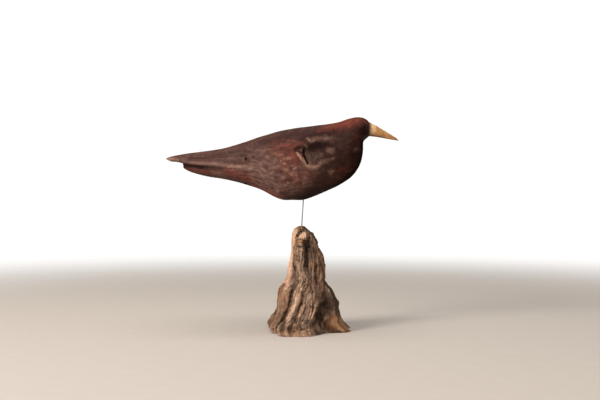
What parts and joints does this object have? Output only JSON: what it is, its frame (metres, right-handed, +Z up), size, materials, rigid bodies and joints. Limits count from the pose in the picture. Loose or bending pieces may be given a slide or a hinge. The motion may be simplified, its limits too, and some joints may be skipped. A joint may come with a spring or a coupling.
{
  "type": "driftwood bird carving",
  "caption": "Plump bird carved from dark driftwood with a pale wooden beak and a long layered tail, held on a thin steel wire above a furrowed, root-footed driftwood stump.",
  "frame": {"origin": "middle of the stump's sawn underside", "axes": "+X from the tail towards the beak, +Y away from the side that is mostly seen, +Z up"},
  "size_m": [0.2599, 0.0886, 0.2386],
  "materials": {
    "dark_driftwood": "smooth carved driftwood, dark red-brown with grey-brown worn areas, faint sheen",
    "pale_wood": "knife-cut pale wood, satin",
    "steel_wire": "plain drawn steel wire, slightly dull",
    "weathered_stump": "weathered driftwood, matt, grey-brown with peach ridges and dark furrows"
  },
  "bodies": {
    "root": {"bird_body": "dark_driftwood", "beak": "pale_wood", "leg_wire": "steel_wire", "driftwood_stump": "weathered_stump"}
  },
  "joints": []
}
